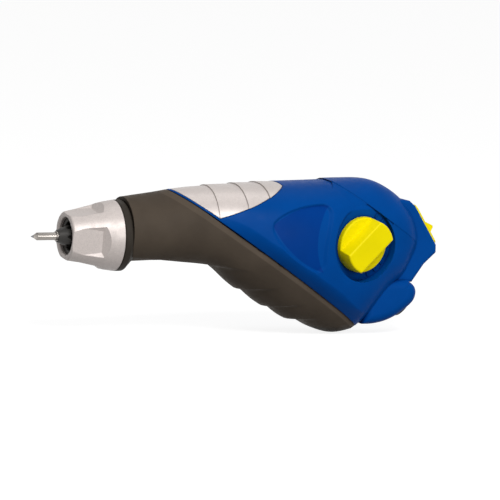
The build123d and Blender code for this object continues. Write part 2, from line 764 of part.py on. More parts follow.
with BuildPart() as housing_screws:
    for (x, z), head_y in zip(SCREWS, SCREW_HEAD_Y):
        add(rod(across(x, z, -SCREW_REACH), SCREW_R, SCREW_REACH + head_y))
        add(rod(across(x, z, head_y), SCREW_HEAD_R, SCREW_HEAD))
        add(rod(across(x, z, head_y + SCREW_HEAD / 2), SCREW_DRIVE_R, SCREW_HEAD), mode=Mode.SUBTRACT)
housing_screws.part.label = "housing_screws"
export_step(housing_screws.part, "parts/housing_screws.step")

# Rubber sleeve with its finger ledges
with BuildPart() as soft_grip:
    add(grip_form)
    split(bisect_by=SEAM.offset(-SEAM_GAP), keep=Keep.BOTTOM)
    split(bisect_by=Plane.YZ.offset(GRIP_START), keep=Keep.TOP)
    add(grip_bed, mode=Mode.SUBTRACT)
    for height, inner_end, belly_end in LEDGES:
        belly = station(GRIP_LINES, belly_end)[2] - LEDGE_BELOW
        lead = inner_end - LEDGE_LEAD
        notch = [(lead, height), (inner_end, height), (belly_end, belly), (lead, belly)]
        add(side_prism(notch, WIDE), mode=Mode.SUBTRACT)
    cone_start = (COLLAR_FLANGE[1] - COLLAR_FIT, COLLAR_FLANGE_R + COLLAR_FIT)
    cone_end = (COLLAR_CONE_END[0], COLLAR_CONE_END[1] + COLLAR_FIT)
    add(turned((cone_start[0], 0), cone_start, cone_end, (cone_end[0], 0)), mode=Mode.SUBTRACT)
soft_grip.part.label = "soft_grip"
export_step(soft_grip.part, "parts/soft_grip.step")

# Finger rest as overlapping shingles, each standing up at its front
with BuildPart() as finger_rest:
    for shingle in rest_shingles:
        add(shingle)
    add(rest_outline, mode=Mode.INTERSECT)
    add(rest_under, mode=Mode.SUBTRACT)
finger_rest.part.label = "finger_rest"
export_step(finger_rest.part, "parts/finger_rest.step")


def radial(angle):
    """Plane through the needle axis, with its own x back and its own y out at an angle from +Y."""
    turn = math.radians(angle)
    return Plane(origin=(0, 0, 0), x_dir=(1, 0, 0), z_dir=(0, -math.sin(turn), math.cos(turn)))


# Pocket in the nose: a flat floor that sinks towards the back, with sloping walls round it
pocket_slope = math.radians(POCKET_SLOPE)
POCKET = Plane(
    origin=(0, 0, POCKET_START_R),
    x_dir=(math.cos(pocket_slope), 0, math.sin(pocket_slope)),
    z_dir=(-math.sin(pocket_slope), 0, math.cos(pocket_slope)),
)
with BuildPart() as nose_pocket:
    for height in (0, POCKET_OPEN):
        side = height * POCKET_SIDE_DRAFT
        end = POCKET_END + height * POCKET_END_DRAFT
        with BuildSketch(POCKET.offset(height)):
            with BuildLine():
                Polyline(
                    (0, -POCKET_FRONT_HALF - side),
                    (end, -POCKET_REAR_HALF - side),
                    (end, POCKET_REAR_HALF + side),
                    (0, POCKET_FRONT_HALF + side),
                    close=True,
                )
            make_face()
    loft(ruled=True)

with BuildPart() as nose_cone:
    add(
        turned(
            (NOSE_FRONT, NOSE_MOUTH_R),
            (NOSE_FRONT, NOSE_FRONT_R),
            (NOSE_NECK, NOSE_NECK_R),
            (NOSE_BACK, NOSE_BACK_R),
            (NOSE_BACK, THREAD_R),
            (THREAD_START, THREAD_R),
            (THREAD_START, LINER_SEAT_R),
            (LINER_END + LINER_PLAY + SNAP_LENGTH, LINER_SEAT_R),
            (LINER_END + LINER_PLAY + SNAP_LENGTH, SNAP_R),
            (LINER_END + LINER_PLAY, SNAP_R),
            (LINER_END + LINER_PLAY, LINER_SEAT_R),
            (NOSE_FRONT + NOSE_LIP, LINER_SEAT_R),
            (NOSE_FRONT + NOSE_LIP, NOSE_MOUTH_R),
        )
    )
    fillet(nose_cone.edges().group_by(Axis.X)[0], NOSE_BEVEL)
    for quarter in range(POCKET_COUNT):
        turn = 90 + POCKET_TILT + 360 * quarter / POCKET_COUNT
        add(nose_pocket.part.rotate(Axis.X, turn), mode=Mode.SUBTRACT)
nose_cone.part.label = "nose_cone"
export_step(nose_cone.part, "parts/nose_cone.step")

with BuildPart() as nose_liner:
    add(tube(NOSE_FRONT + NOSE_LIP + LINER_PLAY, LINER_END, LINER_SEAT_R - LINER_PLAY, LINER_R))
    fillet(nose_liner.edges().group_by(Axis.X)[0].sort_by(SortBy.RADIUS)[0], LINER_EDGE)
nose_liner.part.label = "nose_liner"
export_step(nose_liner.part, "parts/nose_liner.step")

with BuildPart() as barrel_collar:
    add(
        turned(
            (COLLAR_FRONT, COLLAR_BORE_R),
            (COLLAR_FRONT, THREAD_R - COLLAR_FIT),
            (COLLAR_FLANGE[0], THREAD_R - COLLAR_FIT),
            (COLLAR_FLANGE[0], COLLAR_FLANGE_R),
            (COLLAR_FLANGE[1], COLLAR_FLANGE_R),
            COLLAR_CONE_END,
            (COLLAR_CONE_END[0], COLLAR_TAIL_R),
            (COLLAR_TAIL_END, COLLAR_TAIL_R),
            (COLLAR_TAIL_END, COLLAR_BORE_R),
        )
    )
    fillet(barrel_collar.edges().filter_by(GeomType.CIRCLE).sort_by(SortBy.RADIUS)[-2:], COLLAR_EDGE)
barrel_collar.part.label = "barrel_collar"
export_step(barrel_collar.part, "parts/barrel_collar.step")

# Needle with a blind hole for its hard point
with BuildPart() as needle:
    add(
        turned(
            (-POINT_SEAT, 0),
            (-POINT_SEAT, POINT_R),
            (-NEEDLE_OUT, NEEDLE_R),
            (0, NEEDLE_R),
            (0, NEEDLE_SHANK_R),
            (NEEDLE_SHANK, NEEDLE_SHANK_R),
            (NEEDLE_SHANK, 0),
        )
    )
    add(tube(-POINT_SEAT, -POINT_ROOT, POINT_STEM_R, 0), mode=Mode.SUBTRACT)
needle.part.label = "needle"
export_step(needle.part, "parts/needle.step")

with BuildPart() as carbide_point:
    add(
        turned(
            (-POINT_TIP, 0),
            (-POINT_TIP, POINT_TIP_R),
            (-POINT_SEAT, POINT_R),
            (-POINT_SEAT, POINT_STEM_R),
            (-POINT_ROOT, POINT_STEM_R),
            (-POINT_ROOT, 0),
        )
    )
carbide_point.part.label = "carbide_point"
export_step(carbide_point.part, "parts/carbide_point.step")

with BuildPart() as collet:
    add(tube(0, COLLET_LENGTH, COLLET_R, NEEDLE_SHANK_R))
    for third in range(COLLET_SLOTS):
        with BuildSketch(radial(90 + 360 * third / COLLET_SLOTS)):
            with BuildLine():
                Polyline((-1, 0), (COLLET_SLIT, 0), (COLLET_SLIT, WIDE), (-1, WIDE), close=True)
            make_face()
        extrude(amount=COLLET_SLOT / 2, both=True, mode=Mode.SUBTRACT)
collet.part.label = "collet"
export_step(collet.part, "parts/collet.step")

with BuildPart() as collet_nut:
    add(
        turned(
            (NUT_FRONT, COLLET_R),
            (NUT_FRONT, NUT_FRONT_R),
            (NUT_FLANGE, NUT_FLANGE_R),
            (NUT_FLANGE + NUT_RIM, NUT_FLANGE_R),
            (NUT_FLANGE + NUT_RIM, NUT_WAIST_R),
            (NUT_END, NUT_WAIST_R),
            (NUT_END, ROD_R),
            (COLLET_LENGTH + END_PLAY, ROD_R),
            (COLLET_LENGTH + END_PLAY, COLLET_R),
        )
    )
    with BuildSketch(Plane.YZ.offset(NUT_FRONT)):
        with PolarLocations(NUT_FLANGE_R + FLUTE_OUT, NUT_FLUTES):
            Circle(FLUTE_R)
    extrude(amount=NUT_END - NUT_FRONT, mode=Mode.SUBTRACT)
collet_nut.part.label = "collet_nut"
export_step(collet_nut.part, "parts/collet_nut.step")

with BuildPart() as plunger_rod:
    add(tube(COLLET_LENGTH + END_PLAY, ROD_END, ROD_R, 0))
plunger_rod.part.label = "plunger_rod"
export_step(plunger_rod.part, "parts/plunger_rod.step")

with BuildPart() as armature:
    add(tube(ARMATURE[0], ARMATURE[1], ARMATURE_R, 0))
    chamfer(armature.edges().filter_by(GeomType.CIRCLE), ARMATURE_EDGE)
    add(tube(ARMATURE[0], ROD_END, ROD_R, 0), mode=Mode.SUBTRACT)
    add(tube(SPRING_BORE_START, ARMATURE[1], SPRING_BORE_R, 0), mode=Mode.SUBTRACT)
armature.part.label = "armature"
export_step(armature.part, "parts/armature.step")

with BuildPart() as front_bush:
    add(tube(FRONT_WALL[1] - BUSH_LENGTH, FRONT_WALL[1], BUSH_R, ROD_R + BUSH_FIT))
    add(tube(FRONT_WALL[1], FRONT_WALL[1] + BUSH_FLANGE, BUSH_FLANGE_R, ROD_R + BUSH_FIT))
front_bush.part.label = "front_bush"
export_step(front_bush.part, "parts/front_bush.step")

with BuildPart() as rear_bush:
    add(tube(REAR_WALL[0], REAR_WALL[0] + BUSH_LENGTH, BUSH_R, ROD_R + BUSH_FIT))
    add(tube(REAR_WALL[0] - BUSH_FLANGE, REAR_WALL[0], BUSH_FLANGE_R, ROD_R + BUSH_FIT))
rear_bush.part.label = "rear_bush"
export_step(rear_bush.part, "parts/rear_bush.step")

with BuildPart() as buffer_ring:
    add(tube(REAR_WALL[1], BUFFER_END, BUFFER_R, BUFFER_BORE_R))
    fillet(buffer_ring.edges().group_by(Axis.X)[-1], BUFFER_EDGE)
buffer_ring.part.label = "buffer_ring"
export_step(buffer_ring.part, "parts/buffer_ring.step")

coil_start = YOKE[0] + YOKE_PLATE
coil_end = YOKE[1] - YOKE_PLATE

with BuildPart() as coil_bobbin:
    add(tube(coil_start, coil_end, BOBBIN_TUBE_R, 0))
    add(tube(coil_start, coil_start + BOBBIN_FLANGE, BOBBIN_FLANGE_R, 0))
    add(tube(coil_end - BOBBIN_FLANGE, coil_end, BOBBIN_FLANGE_R, 0))
    with BuildSketch(Plane.YZ.offset(coil_end - BOBBIN_FLANGE)):
        with Locations((0, TAB_TOP / 2)):
            Rectangle(2 * TAB_HALF, TAB_TOP)
    extrude(amount=BOBBIN_FLANGE)
    add(tube(coil_start, coil_end, BOBBIN_BORE_R, 0), mode=Mode.SUBTRACT)
coil_bobbin.part.label = "coil_bobbin"
export_step(coil_bobbin.part, "parts/coil_bobbin.step")

with BuildPart() as coil_winding:
    add(tube(coil_start + BOBBIN_FLANGE, coil_end - BOBBIN_FLANGE, WINDING_R, BOBBIN_TUBE_R))
coil_winding.part.label = "coil_winding"
export_step(coil_winding.part, "parts/coil_winding.step")

with BuildPart() as yoke_frame:
    with BuildSketch(Plane.XZ):
        with BuildLine():
            Polyline(
                (YOKE[0], YOKE_FOOT),
                (YOKE[0], YOKE_TOP),
                (coil_start, YOKE_TOP),
                (coil_start, YOKE_FOOT + YOKE_BAR),
                (coil_end, YOKE_FOOT + YOKE_BAR),
                (coil_end, YOKE_TOP),
                (YOKE[1], YOKE_TOP),
                (YOKE[1], YOKE_FOOT),
                close=True,
            )
        make_face()
    extrude(amount=YOKE_HALF, both=True)
    add(tube(YOKE[0], coil_start, YOKE_MOUTH_R, 0), mode=Mode.SUBTRACT)
    add(tube(coil_end, YOKE[1], SEAT_GUIDE_R, 0), mode=Mode.SUBTRACT)
yoke_frame.part.label = "yoke_frame"
export_step(yoke_frame.part, "parts/yoke_frame.step")

# Spring of square wire between the armature and its seat
spring_start = SPRING_BORE_START + SPRING_WIRE / 2 + END_PLAY
spring_length = SPRING_END - SPRING_WIRE / 2 - spring_start
with BuildPart() as return_spring:
    with BuildLine() as spring_path:
        pitch = spring_length / SPRING_TURNS
        Helix(pitch, spring_length, SPRING_R, center=(spring_start, 0, 0), direction=(1, 0, 0))
    with BuildSketch(Plane(origin=spring_path.line @ 0, z_dir=spring_path.line % 0)):
        Rectangle(SPRING_WIRE, SPRING_WIRE)
    sweep(path=spring_path.line, is_frenet=True)
return_spring.part.label = "return_spring"
export_step(return_spring.part, "parts/return_spring.step")

# The seat's flat face meets the inner edge of the tilted cam
cam_centre = DISH.offset(-CAM_DEPTH).origin
cam_lean = math.asin(DIAL_OUT.X)
seat_face = cam_centre.X - CAM_REACH * math.cos(cam_lean) - CAM_HALF * math.sin(cam_lean) - CAM_PLAY
with BuildPart() as spring_seat:
    add(tube(SEAT_STEM_START, seat_face - SEAT_FLANGE, SEAT_STEM_R, 0))
    add(tube(seat_face - SEAT_FLANGE, seat_face, SEAT_FLANGE_R, 0))
spring_seat.part.label = "spring_seat"
export_step(spring_seat.part, "parts/spring_seat.step")


cam_start = math.atan2(DISH.y_dir.X, DISH.x_dir.X)


def cam_point(turn):
    """Point of the cam whose flat follower moves in even proportion to the turn."""
    angle = math.radians(turn) + cam_start
    reach = CAM_REACH + CAM_RISE * math.radians(turn)
    x = -reach * math.cos(angle) + CAM_RISE * math.sin(angle)
    z = -reach * math.sin(angle) - CAM_RISE * math.cos(angle)
    return (x, z)


with BuildPart() as cam_shaft:
    with BuildSketch(DISH) as drive_face:
        Circle(DRIVE_R)
        with Locations((0, DRIVE_FLAT + DRIVE_R)):
            Rectangle(2 * DRIVE_R, 2 * DRIVE_R, mode=Mode.SUBTRACT)
    extrude(amount=DRIVE_LENGTH)
    add(rod(INWARD, SHAFT_R, JOURNAL_LENGTH))
    add(rod(INWARD, NECK_R, TAIL_START - TAIL_STEP))
    add(rod(INWARD, TAIL_R, TAIL_END))
    with BuildSketch(DISH.offset(-CAM_DEPTH - CAM_HALF)):
        with BuildLine():
            Spline(*[cam_point(turn) for turn in range(-CAM_SPREAD, CAM_SPREAD + 1, CAM_STEP)], periodic=True)
        make_face()
    extrude(amount=2 * CAM_HALF)
    with BuildSketch(INWARD.offset(SEAL_DEPTH - SEAL_GROOVE / 2)):
        Circle(SHAFT_R + 1)
        Circle(SEAL_ROOT_R, mode=Mode.SUBTRACT)
    extrude(amount=SEAL_GROOVE, mode=Mode.SUBTRACT)
cam_shaft.part.label = "cam_shaft"
export_step(cam_shaft.part, "parts/cam_shaft.step")

with BuildPart() as knob_seal:
    seal_centre = INWARD.offset(SEAL_DEPTH).origin
    with BuildSketch(Plane(origin=seal_centre, x_dir=DISH.x_dir, z_dir=DISH.y_dir)):
        with Locations((SEAL_ROOT_R + SEAL_WIRE + SEAL_FIT, 0)):
            Circle(SEAL_WIRE)
    revolve(axis=Axis(seal_centre, DIAL_OUT))
knob_seal.part.label = "knob_seal"
export_step(knob_seal.part, "parts/knob_seal.step")

# Dial with a wide bar across it
bar_turn = math.radians(BAR_ANGLE)
bar_along = DISH.x_dir * math.cos(bar_turn) + DISH.y_dir * math.sin(bar_turn)
bar_across = DISH.y_dir * math.cos(bar_turn) - DISH.x_dir * math.sin(bar_turn)
with BuildPart() as knob_bar:
    bar_foot = DISH.offset(KNOB_LIFT + KNOB_RIM).origin
    with BuildSketch(Plane(origin=bar_foot, x_dir=bar_across, z_dir=bar_along)):
        with BuildLine():
            Polyline(
                (-BAR_BASE_HALF, -KNOB_RIM / 2),
                (-BAR_BASE_HALF, 0),
                (-BAR_TOP_HALF, BAR_HEIGHT),
                (BAR_TOP_HALF, BAR_HEIGHT),
                (BAR_BASE_HALF, 0),
                (BAR_BASE_HALF, -KNOB_RIM / 2),
                close=True,
            )
        make_face()
    extrude(amount=WIDE, both=True)
    with BuildSketch(DISH.offset(KNOB_LIFT + KNOB_RIM / 2)):
        Circle(KNOB_R)
    extrude(amount=BAR_HEIGHT + KNOB_RIM, taper=BAR_END_DRAFT, mode=Mode.INTERSECT)
    fillet(knob_bar.faces().sort_by(Axis(DISH.origin, DIAL_OUT))[-1].edges(), BAR_EDGE)

with BuildPart() as stroke_knob:
    with BuildSketch(DISH.offset(KNOB_LIFT)):
        Circle(KNOB_R)
    extrude(amount=KNOB_RIM)
    fillet(stroke_knob.faces().sort_by(Axis(DISH.origin, DIAL_OUT))[-1].edges(), BAR_EDGE)
    add(knob_bar.part)
    with BuildSketch(DISH) as socket_face:
        Circle(DRIVE_R + SHAFT_FIT)
        with Locations((0, DRIVE_FLAT + SHAFT_FIT + DRIVE_R)):
            Rectangle(2 * DRIVE_R, 2 * DRIVE_R, mode=Mode.SUBTRACT)
    extrude(amount=DRIVE_LENGTH + SHAFT_FIT, mode=Mode.SUBTRACT)
stroke_knob.part.label = "stroke_knob"
export_step(stroke_knob.part, "parts/stroke_knob.step")

with BuildPart() as switch_plate:
    with BuildSketch(SWITCH) as plate_face:
        RectangleRounded(PLATE[0], PLATE[1], PLATE_CORNER)
        with Locations((WINDOW_X, 0)):
            Rectangle(WINDOW[0], WINDOW[1], mode=Mode.SUBTRACT)
    extrude(amount=PLATE[2])
switch_plate.part.label = "switch_plate"
export_step(switch_plate.part, "parts/switch_plate.step")

with BuildPart() as switch_slider:
    ridge_plane = SWITCH.offset(PLATE[2] + SLIDER_PLAY)
    ridge_origin = ridge_plane.from_local_coords((SLIDER_X, -RIDGE_HALF, 0))
    with BuildSketch(Plane(origin=ridge_origin, x_dir=SWITCH.x_dir, z_dir=(0, -1, 0))):
        with BuildLine():
            Polyline(*RIDGE, close=True)
        make_face()
    extrude(amount=-2 * RIDGE_HALF)
    with BuildSketch(ridge_plane):
        with Locations((SLIDER_X, 0)):
            Rectangle(SLIDER_NECK[0], SLIDER_NECK[1])
    extrude(amount=-PLATE[2] - SLIDER_PLAY - SLIDER_DEPTH)
    with BuildSketch(SWITCH.offset(-SLIDER_DEPTH)):
        with Locations((SLIDER_X, 0)):
            Rectangle(SLIDER_FOOT[0], SLIDER_FOOT[1])
    extrude(amount=-SLIDER_FOOT[2])
    with BuildSketch(SWITCH.offset(-SLIDER_DEPTH)):
        with Locations((SLIDER_X, 0)):
            Rectangle(PIN_SIDE, PIN_SIDE)
    extrude(amount=-PIN_DEPTH + SLIDER_DEPTH)
switch_slider.part.label = "switch_slider"
export_step(switch_slider.part, "parts/switch_slider.step")

with BuildPart() as switch_body:
    with BuildSketch(SWITCH.offset(-SWITCH_DEPTH)):
        Rectangle(SWITCH_BOX[0], SWITCH_BOX[1])
    extrude(amount=-SWITCH_BOX[2])
    with BuildSketch(SWITCH.offset(-SWITCH_DEPTH)):
        with Locations((WINDOW_X, 0)):
            Rectangle(SWITCH_SLOT[0], SWITCH_SLOT[1])
    extrude(amount=-SWITCH_SLOT[2], mode=Mode.SUBTRACT)
switch_body.part.label = "switch_body"
export_step(switch_body.part, "parts/switch_body.step")

terminal_root = SWITCH.offset(-SWITCH_DEPTH - SWITCH_BOX[2])
with BuildPart() as switch_terminals:
    with BuildSketch(terminal_root):
        for side, route in LEAD_ROUTES:
            with Locations((side * TERMINAL_X, side * TERMINAL_Y)):
                Rectangle(TERMINAL[0], TERMINAL[1])
    extrude(amount=-TERMINAL[2])
switch_terminals.part.label = "switch_terminals"
export_step(switch_terminals.part, "parts/switch_terminals.step")

with BuildPart() as lead_wires:
    for side, route in LEAD_ROUTES:
        start = terminal_root.from_local_coords((side * TERMINAL_X, side * TERMINAL_Y, -TERMINAL[2]))
        out = terminal_root.from_local_coords((side * TERMINAL_X, side * TERMINAL_Y, -TERMINAL[2] - LEAD_OUT))
        bends = [out] + [(x, side * TERMINAL_Y, z) for x, z in route]
        end = (coil_end, side * TERMINAL_Y, LEAD_HEIGHT)
        with BuildLine() as lead_path:
            FilletPolyline(start, *bends, end, radius=LEAD_RADIUS)
        with BuildSketch(Plane(origin=lead_path.line @ 0, z_dir=lead_path.line % 0)):
            Circle(LEAD_R)
        sweep(path=lead_path.line)
lead_wires.part.label = "lead_wires"
export_step(lead_wires.part, "parts/lead_wires.step")

with BuildPart() as cord_gland:
    add(rod(INLET.offset(INLET_STEPS[0]), INLET_TAIL_R, INLET_STEPS[3] - INLET_STEPS[0]))
    add(rod(INLET.offset(INLET_STEPS[1]), INLET_FLANGE_R, INLET_STEPS[2] - INLET_STEPS[1]))
    add(rod(INLET.offset(INLET_STEPS[2]), INLET_R, INLET_STEPS[3] - INLET_STEPS[2]))
    add(rod(INLET, INLET_BORE_R, WIDE), mode=Mode.SUBTRACT)
cord_gland.part.label = "cord_gland"
export_step(cord_gland.part, "parts/cord_gland.step")
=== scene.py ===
import json
import math

import bmesh
import bpy
from mathutils import Matrix, Vector
from mathutils.bvhtree import BVHTree


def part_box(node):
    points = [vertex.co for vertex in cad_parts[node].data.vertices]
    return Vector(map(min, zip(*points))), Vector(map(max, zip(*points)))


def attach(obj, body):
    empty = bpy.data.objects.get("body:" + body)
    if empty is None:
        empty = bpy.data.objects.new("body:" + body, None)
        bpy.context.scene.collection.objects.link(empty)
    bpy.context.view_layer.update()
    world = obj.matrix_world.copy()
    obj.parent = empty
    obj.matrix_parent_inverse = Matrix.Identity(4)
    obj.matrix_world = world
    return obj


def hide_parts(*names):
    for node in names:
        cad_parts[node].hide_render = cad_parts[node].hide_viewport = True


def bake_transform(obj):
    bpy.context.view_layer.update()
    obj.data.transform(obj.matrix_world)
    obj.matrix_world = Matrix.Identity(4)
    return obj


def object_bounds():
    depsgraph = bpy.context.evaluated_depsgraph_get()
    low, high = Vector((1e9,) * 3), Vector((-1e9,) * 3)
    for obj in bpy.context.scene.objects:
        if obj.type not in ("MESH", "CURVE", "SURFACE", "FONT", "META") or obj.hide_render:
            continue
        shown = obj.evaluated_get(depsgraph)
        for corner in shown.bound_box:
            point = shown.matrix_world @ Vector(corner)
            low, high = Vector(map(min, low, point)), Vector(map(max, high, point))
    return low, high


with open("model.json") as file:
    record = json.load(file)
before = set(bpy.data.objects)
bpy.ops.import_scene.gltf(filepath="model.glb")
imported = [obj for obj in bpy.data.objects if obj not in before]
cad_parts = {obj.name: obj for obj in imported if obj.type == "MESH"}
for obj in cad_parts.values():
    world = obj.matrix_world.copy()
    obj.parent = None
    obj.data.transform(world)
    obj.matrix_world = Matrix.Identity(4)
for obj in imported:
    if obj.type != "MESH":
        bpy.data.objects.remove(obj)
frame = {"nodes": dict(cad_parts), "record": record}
cad_box = [list(corner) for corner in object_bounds()]
nodes = frame["nodes"]
scene = bpy.context.scene
scene.view_settings.view_transform = "Standard"
MM = 0.001

# Camera: the photograph's own axes, and the point that its middle shows
CAMERA_RIGHT = Vector((0.925, -0.380, 0.0275)).normalized()
CAMERA_UP = Vector((0.0145, 0.107, 0.9945)).normalized()
PIXEL = 0.43 * MM
FRAME_PIXELS = 500
MIDDLE_RIGHT = 83.6 * MM
MIDDLE_UP = -5.96 * MM
# Nearly flat perspective, but short enough for the views from round the object
LENS = 1500.0
SENSOR = 36.0
CLIP_NEAR = 0.05
CLIP_FAR = 60.0


def add_object(name, data):
    piece = bpy.data.objects.new(name, data)
    scene.collection.objects.link(piece)
    return piece


back = CAMERA_RIGHT.cross(CAMERA_UP).normalized()
up = back.cross(CAMERA_RIGHT)
distance = PIXEL * FRAME_PIXELS * LENS / SENSOR
camera = add_object("camera", bpy.data.cameras.new("camera"))
camera.data.lens = LENS
camera.data.sensor_width = SENSOR
camera.data.clip_start = CLIP_NEAR
camera.data.clip_end = CLIP_FAR
turn = Matrix((CAMERA_RIGHT, up, back)).transposed().to_4x4()
place = CAMERA_RIGHT * MIDDLE_RIGHT + up * MIDDLE_UP + back * distance
camera.matrix_world = Matrix.Translation(place) @ turn
scene.camera = camera


# Materials
MOTTLE_SPREAD = (0.35, 0.65)
GLOSS_SPREAD = (0.3, 0.7)
# Painted shade in gaps and creases: full below the first openness, none above the second
PAINTED_SHADE_SPREAD = (0.35, 0.85)


def new_material(name, colour, rough, metal=0.0, specular=0.5):
    made = bpy.data.materials.new(name)
    made.use_nodes = True
    shader = shader_of(made)
    shader.inputs["Base Color"].default_value = (*colour, 1)
    shader.inputs["Roughness"].default_value = rough
    shader.inputs["Metallic"].default_value = metal
    shader.inputs["Specular IOR Level"].default_value = specular
    return made


def shader_of(made):
    return made.node_tree.nodes["Principled BSDF"]


def node_of(made, kind, **values):
    """New node, with the named values set on its sockets or else on the node itself."""
    node = made.node_tree.nodes.new(kind)
    for name, value in values.items():
        if name in node.inputs:
            node.inputs[name].default_value = value
        else:
            setattr(node, name, value)
    return node


def link(made, start, end):
    made.node_tree.links.new(start, end)


def source_of(socket):
    """Output that feeds a socket now."""
    return socket.links[0].from_socket


def position(made, stretch=(1, 1, 1)):
    """Place on the object in metres, stretched along its axes."""
    place = node_of(made, "ShaderNodeTexCoord")
    size = node_of(made, "ShaderNodeMapping")
    size.inputs["Scale"].default_value = stretch
    link(made, place.outputs["Object"], size.inputs["Vector"])
    return size.outputs["Vector"]


def noise(made, scale, detail=2.0, stretch=(1, 1, 1)):
    grain = node_of(made, "ShaderNodeTexNoise", Scale=scale, Detail=detail)
    link(made, position(made, stretch), grain.inputs["Vector"])
    return grain.outputs["Fac"]


def ranged(made, source, start, end, low, high):
    """Turns values between start and end into values between low and high."""
    spread = node_of(made, "ShaderNodeMapRange")
    spread.inputs["From Min"].default_value = start
    spread.inputs["From Max"].default_value = end
    spread.inputs["To Min"].default_value = low
    spread.inputs["To Max"].default_value = high
    link(made, source, spread.inputs["Value"])
    return spread.outputs["Result"]


def recolour(made, kind, factor, colour):
    """Mixes a colour over the base colour, where the factor is high."""
    mix = node_of(made, "ShaderNodeMix", data_type="RGBA", blend_type=kind)
    base = shader_of(made).inputs["Base Color"]
    link(made, source_of(base), mix.inputs[6])
    mix.inputs[7].default_value = (*colour, 1)
    if isinstance(factor, float):
        mix.inputs[0].default_value = factor
    else:
        link(made, factor, mix.inputs[0])
    link(made, mix.outputs[2], base)
    return mix


def mottle(made, scale, dark, light, stretch=(1, 1, 1)):
    """Base colour that wanders between two colours."""
    ramp = node_of(made, "ShaderNodeValToRGB")
    ramp.color_ramp.elements[0].position = MOTTLE_SPREAD[0]
    ramp.color_ramp.elements[0].color = (*dark, 1)
    ramp.color_ramp.elements[1].position = MOTTLE_SPREAD[1]
    ramp.color_ramp.elements[1].color = (*light, 1)
    link(made, noise(made, scale, 4.0, stretch), ramp.inputs["Fac"])
    link(made, ramp.outputs["Color"], shader_of(made).inputs["Base Color"])


def speckle(made, scale, low, high):
    """Small flakes, each a little lighter or darker than its neighbours."""
    cells = node_of(made, "ShaderNodeTexVoronoi", Scale=scale)
    link(made, position(made), cells.inputs["Vector"])
    tone = ranged(made, cells.outputs["Color"], 0.0, 1.0, low, high)
    mix = recolour(made, "MULTIPLY", 1.0, (1, 1, 1))
    link(made, tone, mix.inputs[7])


def uneven_gloss(made, scale, low, high, stretch=(1, 1, 1)):
    gloss = ranged(made, noise(made, scale, 3.0, stretch), *GLOSS_SPREAD, low, high)
    link(made, gloss, shader_of(made).inputs["Roughness"])


def relief(made, height, edge):
    """Relief, as a height in metres, over a slightly rounded edge."""
    rounding = node_of(made, "ShaderNodeBevel", samples=4)
    rounding.inputs["Radius"].default_value = edge
    bump = node_of(made, "ShaderNodeBump", Strength=1.0, Distance=1.0)
    link(made, height, bump.inputs["Height"])
    link(made, rounding.outputs["Normal"], bump.inputs["Normal"])
    link(made, bump.outputs["Normal"], shader_of(made).inputs["Normal"])


def paint_crease_shade(made, reach, dark):
    """Painted shade: darker in narrow gaps and creases, where shade falls."""
    room = node_of(made, "ShaderNodeAmbientOcclusion", samples=8, Distance=reach)
    shaded_share = ranged(made, room.outputs["AO"], *PAINTED_SHADE_SPREAD, 1, 0)
    recolour(made, "MULTIPLY", shaded_share, dark)


def finish_of(name, colour, rough, metal=0.0, specular=0.5, vary=0.1, blotch=60.0, grain=3000.0,
              depth=2e-5, gloss=0.06, stretch=(1, 1, 1), edge=0.3 * MM, flakes=0.0):
    """A moulded or worked surface: wandering colour, uneven gloss and fine relief."""
    made = new_material(name, colour, rough, metal, specular)
    dark = tuple(value * (1 - vary) for value in colour)
    light = tuple(min(1, value * (1 + vary)) for value in colour)
    mottle(made, blotch, dark, light, stretch)
    if flakes:
        speckle(made, FLAKE_SCALE, 1 - flakes, 1.0)
    uneven_gloss(made, blotch * 6, rough - gloss, rough + gloss, stretch)
    relief(made, ranged(made, noise(made, grain, 3.0, stretch), 0, 1, 0, depth), edge)
    return made


BLUE = (0.0, 0.060, 0.290)
RUBBER = (0.072, 0.056, 0.042)
SILVER = (0.63, 0.565, 0.535)
YELLOW = (0.95, 0.8, 0.0)
BLACK = (0.026, 0.023, 0.02)
COLLAR_BLACK = (0.026, 0.021, 0.016)
STEEL = (0.34, 0.315, 0.29)
FLAKE_SCALE = 2600.0
ALONG = (0.03, 1, 1)
ROUND_COIL = (6, 0.2, 0.2)

